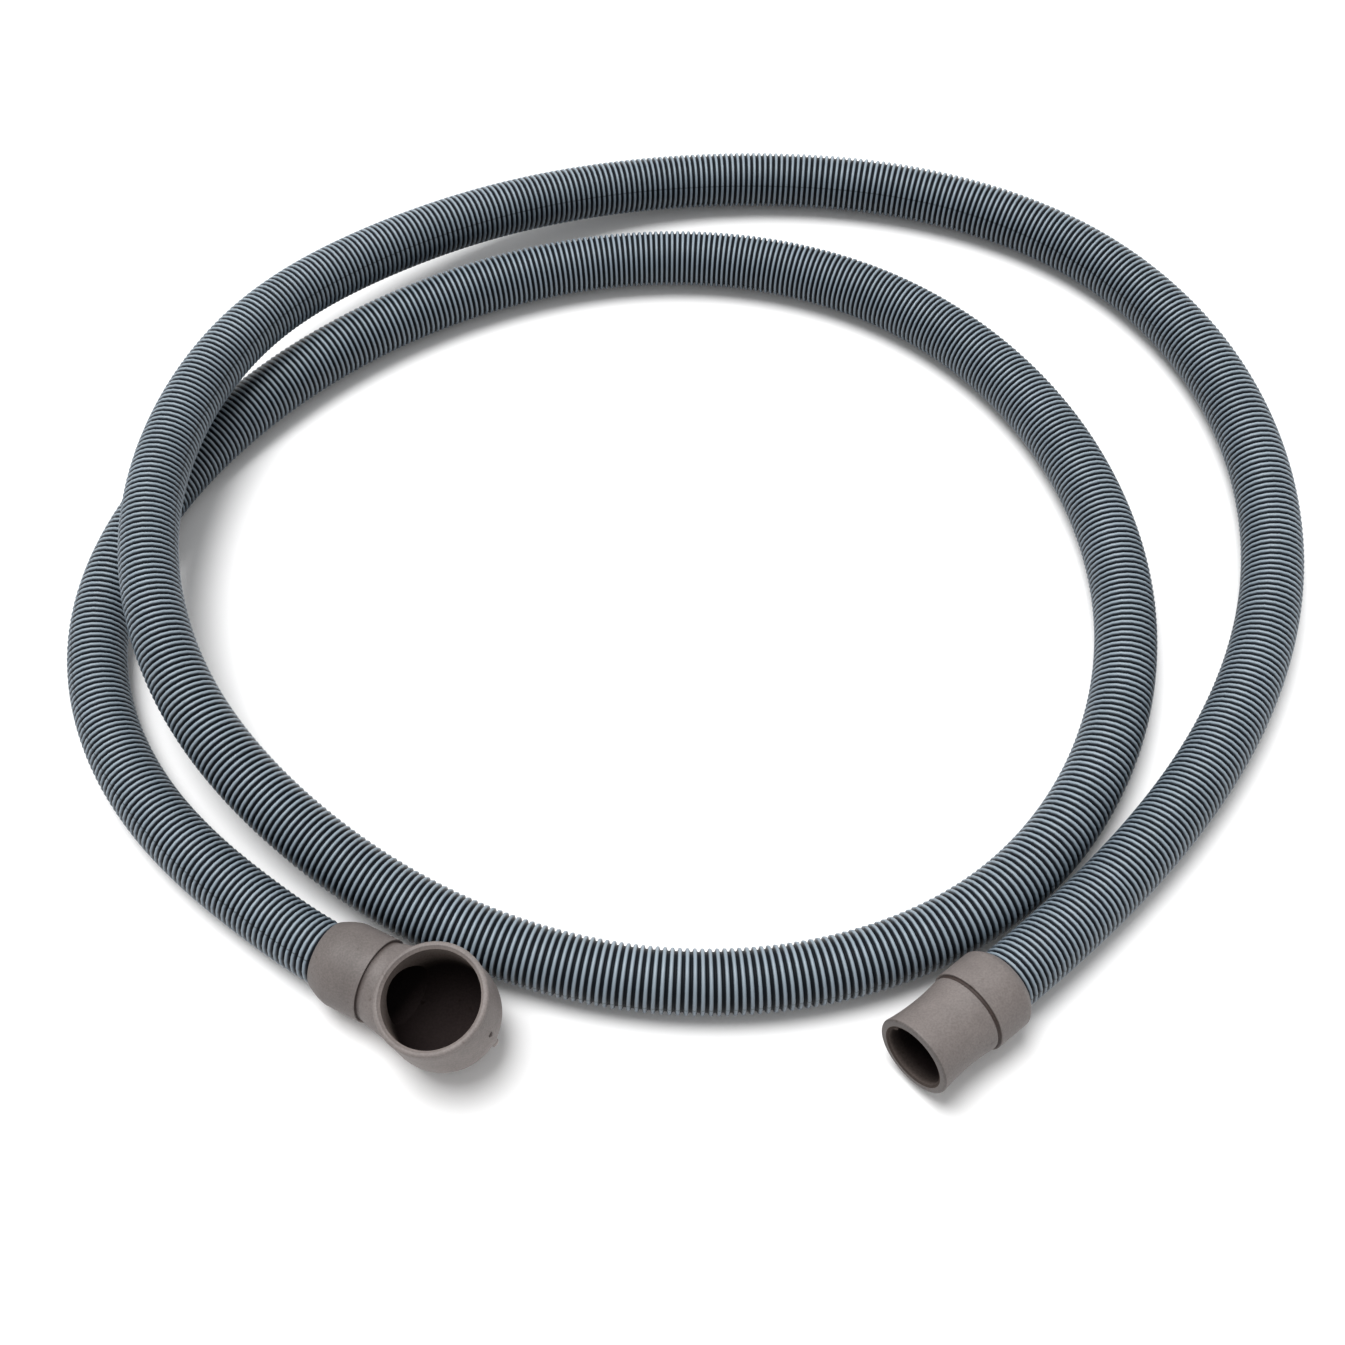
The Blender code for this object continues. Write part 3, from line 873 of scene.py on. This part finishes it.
def collar_form():
    """The elbow's collar with its groove and the core that reaches into the neck."""
    floor = ELBOW_COLLAR_RADIUS - GROOVE_DEPTH
    ease = EDGE_ROUNDING
    near = ELBOW_GROOVE_AT - GROOVE_WIDTH / 2
    end = ELBOW_GROOVE_AT + ELBOW_CORE_OVERLAP
    outline = [(0.0, 0.0), (SOCKET_RADIUS, 0.0)] + elbow_collar()
    outline += [(ELBOW_COLLAR_RADIUS, height) for height in ELBOW_COLLAR_RINGS]
    outline += arc(ELBOW_COLLAR_RADIUS - ease, near - ease, ease, 0.0, 90.0, EDGE_STEPS)
    outline += [(floor, near), (floor, end), (0.0, end)]
    return solid_form("collar", outline[::-1], Matrix.Identity(4))


def rim_form(leg_place):
    """The crisp rim of the leg's mouth."""
    corner = LEG_RADIUS - LEG_RIM_ROUNDING
    bottom = LEG_HEIGHT - LEG_RIM_BAND
    outline = [(0.0, LEG_HEIGHT)]
    outline += arc(corner, LEG_HEIGHT - LEG_RIM_ROUNDING, LEG_RIM_ROUNDING, 90.0, 0.0, LEG_RIM_STEPS)
    outline += [(LEG_RADIUS - LEG_RIM_SINK, bottom), (0.0, bottom)]
    return solid_form("rim", outline, leg_place)


def sprue_form(axis_at):
    """The stub that the moulding left low on the round back."""
    lean = math.asin(SPRUE_HEIGHT / LEG_RADIUS)
    place = Matrix.Translation((0.0, 0.0, axis_at)) @ Matrix.Rotation(-lean, 4, "Y")
    end = LEG_RADIUS + SPRUE_LENGTH
    root = LEG_RADIUS - SPRUE_LENGTH
    outline = [(0.0, end), (SPRUE_RADIUS * SPRUE_TIP_SHARE, end)]
    outline.append((SPRUE_RADIUS * SPRUE_SHOULDER_SHARE, end - SPRUE_TIP_LENGTH))
    outline += [(SPRUE_RADIUS, root), (0.0, root)]
    return solid_form("sprue", outline, place)


def leg_bore_form(leg_place):
    """What the leg's mouth and its round inside take away."""
    chamfer_radius = LEG_BORE_RADIUS + LEG_CHAMFER
    top = LEG_HEIGHT - LEG_CHAMFER
    outline = [(0.0, LEG_HEIGHT + CUT_OVERRUN), (chamfer_radius, LEG_HEIGHT + CUT_OVERRUN)]
    outline += [(chamfer_radius, LEG_HEIGHT), (LEG_BORE_RADIUS, top)]
    outline += [(LEG_BORE_RADIUS, height) for height in steps_between(top, 0.0, BORE_STEP)]
    return solid_form("leg_bore", outline + round_back(LEG_BORE_RADIUS), leg_place)


def hose_way_form(axis_at):
    """What the hose's socket and the neck's passage take away."""
    stop = ELBOW_COLLAR_LENGTH - STOP_LENGTH
    outline = [(0.0, axis_at), (NECK_BORE_RADIUS, axis_at), (NECK_BORE_RADIUS, stop)]
    outline += [(SOCKET_RADIUS, stop), (SOCKET_RADIUS, -CUT_OVERRUN), (0.0, -CUT_OVERRUN)]
    return solid_form("hose_way", outline, Matrix.Identity(4))


def pin_mark_form(axis_at):
    """The small dimple that an ejector pin left in the leg's back."""
    place = Matrix.Translation((-PIN_MARK_HEIGHT, 0.0, axis_at + LEG_RADIUS))
    floor_radius = PIN_MARK_RADIUS * PIN_MARK_FLOOR_SHARE
    outline = [(0.0, PIN_MARK_DEPTH), (PIN_MARK_RADIUS, PIN_MARK_DEPTH)]
    outline += [(floor_radius, -PIN_MARK_DEPTH), (0.0, -PIN_MARK_DEPTH)]
    return solid_form("pin_mark", outline, place)


def mark_elbow_cuff(cuff, axis_at):
    """Stores the painted shade inside, in the groove and in the pin mark of the elbow, and the painted
    light or shade on each point.
    """
    places = point_places(cuff)
    height = -places[:, 0]
    from_leg = np.hypot(places[:, 1], places[:, 2] - axis_at)
    from_axis = np.hypot(places[:, 0], places[:, 1])
    from_middle = np.hypot(from_leg, height)
    in_ball = from_middle < LEG_BORE_RADIUS + SLACK
    in_leg = (height > 0) & (from_leg < LEG_BORE_RADIUS + SLACK) & (height < LEG_HEIGHT - LEG_CHAMFER / 2)
    in_way = (from_axis < NECK_BORE_RADIUS + SLACK) & (places[:, 2] < axis_at)
    depth = np.clip((LEG_HEIGHT - height) / LEG_INSIDE_SHADE_FADE, 0.0, 1.0)
    # Painted shade inside the leg, its round back and the hose's passage
    mark_points(cuff, "inside", np.where(in_ball | in_leg, depth, np.where(in_way, 1.0, 0.0)))
    from_pin_mark = np.hypot(places[:, 0] + PIN_MARK_HEIGHT, places[:, 1])
    in_pin_mark = (from_pin_mark < PIN_MARK_RADIUS * PIN_MARK_SHADED_SHARE) & (places[:, 2] > axis_at)
    groove = groove_points(places, ELBOW_COLLAR_RADIUS, ELBOW_GROOVE_AT)
    # Painted shade in the pin mark and in the groove
    mark_points(cuff, "groove", np.where(in_pin_mark, PIN_MARK_PAINTED_SHADE, groove))
    on_sprue = (from_middle > LEG_RADIUS + RIDGE_HEIGHT + SLACK) & (height < -RIDGE_WIDTH)
    # Painted shade towards the collar's rear edge, painted light up and under the leg and on the sprue
    painted_light_along = np.interp(places[:, 2], *np.array(ELBOW_PAINTED_LIGHT).T)
    painted_light_on_leg = np.interp(height, *np.array(LEG_PAINTED_LIGHT).T)
    mark_points(cuff, "painted_light", painted_light_along * painted_light_on_leg * np.where(on_sprue, STUB_PAINTED_LIGHT, 1.0))


def make_elbow_cuff(matrix, material):
    axis_at = ELBOW_COLLAR_LENGTH + ELBOW_REACH
    leg_place = Matrix.Translation((0.0, 0.0, axis_at)) @ Matrix.Rotation(-math.pi / 2, 4, "Y")
    cuff = blended_body(leg_place)
    combine(cuff, "UNION", [collar_form(), rim_form(leg_place), sprue_form(axis_at)])
    combine(cuff, "DIFFERENCE", [leg_bore_form(leg_place), hose_way_form(axis_at), pin_mark_form(axis_at)])
    remove_slivers(cuff)
    cuff.name = "elbow_cuff_rubber"
    mark_elbow_cuff(cuff, axis_at)
    finish_cuff(cuff, "elbow_cuff", matrix, material)
    return cuff


def make_light():
    sun = bpy.data.lights.new("sun", "SUN")
    sun.energy = SUN_STRENGTH
    sun.angle = SUN_ANGLE
    item = bpy.data.objects.new("sun", sun)
    bpy.context.scene.collection.objects.link(item)
    item.rotation_euler = SUN_FROM.to_track_quat("Z", "Y").to_euler()
    world = bpy.data.worlds.new("studio")
    world.use_nodes = True
    nodes = world.node_tree.nodes
    links = world.node_tree.links
    background = nodes["Background"]
    background.inputs["Color"].default_value = (1.0, 1.0, 1.0, 1.0)
    direction = nodes.new("ShaderNodeSeparateXYZ")
    links.new(nodes.new("ShaderNodeTexCoord").outputs["Generated"], direction.inputs["Vector"])
    glow = map_range(nodes, links, direction.outputs["Y"], -1.0, 1.0, WORLD_FRONT, WORLD_BACK)
    seen = add_node(nodes, "ShaderNodeMix", data_type="FLOAT")
    links.new(nodes.new("ShaderNodeLightPath").outputs["Is Camera Ray"], seen.inputs["Factor"])
    links.new(glow, seen.inputs["A"])
    seen.inputs["B"].default_value = BACKGROUND_WHITE
    links.new(seen.outputs["Result"], background.inputs["Strength"])
    bpy.context.scene.world = world
    bpy.context.scene.view_settings.view_transform = "Standard"


def make_floor():
    mesh = bpy.data.meshes.new("floor")
    half = FLOOR_SIZE / 2
    corners = [(-half, -half, 0.0), (half, -half, 0.0), (half, half, 0.0), (-half, half, 0.0)]
    mesh.from_pydata(corners, [], [(0, 1, 2, 3)])
    floor = bpy.data.objects.new("floor", mesh)
    bpy.context.scene.collection.objects.link(floor)
    material, nodes, links, shader = new_material("floor_white")
    shader.inputs["Base Color"].default_value = (FLOOR_WHITE, FLOOR_WHITE, FLOOR_WHITE, 1.0)
    shader.inputs["Roughness"].default_value = 1.0
    shader.inputs["Specular IOR Level"].default_value = 0.0
    shader.inputs["Emission Color"].default_value = (1.0, 1.0, 1.0, 1.0)
    glow = add_node(nodes, "ShaderNodeMath", operation="MULTIPLY")
    links.new(nodes.new("ShaderNodeLightPath").outputs["Is Camera Ray"], glow.inputs[0])
    glow.inputs[1].default_value = FLOOR_GLOW
    links.new(glow.outputs[0], shader.inputs["Emission Strength"])
    mesh.materials.append(material)


make_camera()
elbow_matrix = cuff_matrix(ELBOW_REAR, elbow_collar(), ELBOW_HEADING, elbow_tilt(), ELBOW_ROLL)
straight_matrix = cuff_matrix(STRAIGHT_REAR, straight_collar(), STRAIGHT_HEADING, STRAIGHT_TILT, 0.0)
line = hose_line(elbow_matrix, straight_matrix)
hose, hose_length = make_hose(line, make_hose_material())
cuff_material = make_cuff_material()
straight_cuff = make_straight_cuff(straight_matrix, cuff_material)
elbow_cuff = make_elbow_cuff(elbow_matrix, cuff_material)
path = points_at(line, np.linspace(0.0, hose_length, PATH_POINTS)).tolist()
tuple(line[0])
make_light()
make_floor()
